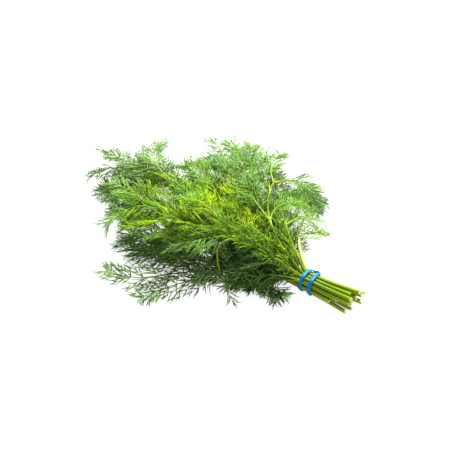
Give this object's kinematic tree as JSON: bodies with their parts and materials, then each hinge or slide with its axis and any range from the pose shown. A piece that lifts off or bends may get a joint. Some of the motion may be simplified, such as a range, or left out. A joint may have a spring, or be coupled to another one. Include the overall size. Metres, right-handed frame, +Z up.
{
  "type": "dill bunch",
  "caption": "Bunch of fresh dill lying on its side: feathery leafy stems with cut ends, held by a rubber band wound round them twice.",
  "frame": {"origin": "on the table, in the middle of the flat underside of the band's strand nearer to the leaves", "axes": "+X towards the cut ends, leaves spread towards -X, +Z up, -Y is the side from which the picture is taken"},
  "size_m": [0.3488, 0.2477, 0.0624],
  "materials": {
    "dill": "satin",
    "band": "satin"
  },
  "bodies": {
    "root": {"dill_stem_01": "dill", "dill_stem_02": "dill", "dill_stem_03": "dill", "dill_stem_04": "dill", "dill_stem_05": "dill", "dill_stem_06": "dill", "dill_stem_07": "dill", "dill_stem_08": "dill", "dill_stem_09": "dill", "dill_stem_10": "dill", "dill_stem_11": "dill", "dill_stem_12": "dill", "dill_stem_13": "dill", "dill_stem_14": "dill", "dill_stem_15": "dill", "dill_stem_16": "dill", "dill_stem_17": "dill", "dill_stem_18": "dill", "dill_stem_19": "dill", "rubber_band": "band"}
  },
  "joints": []
}
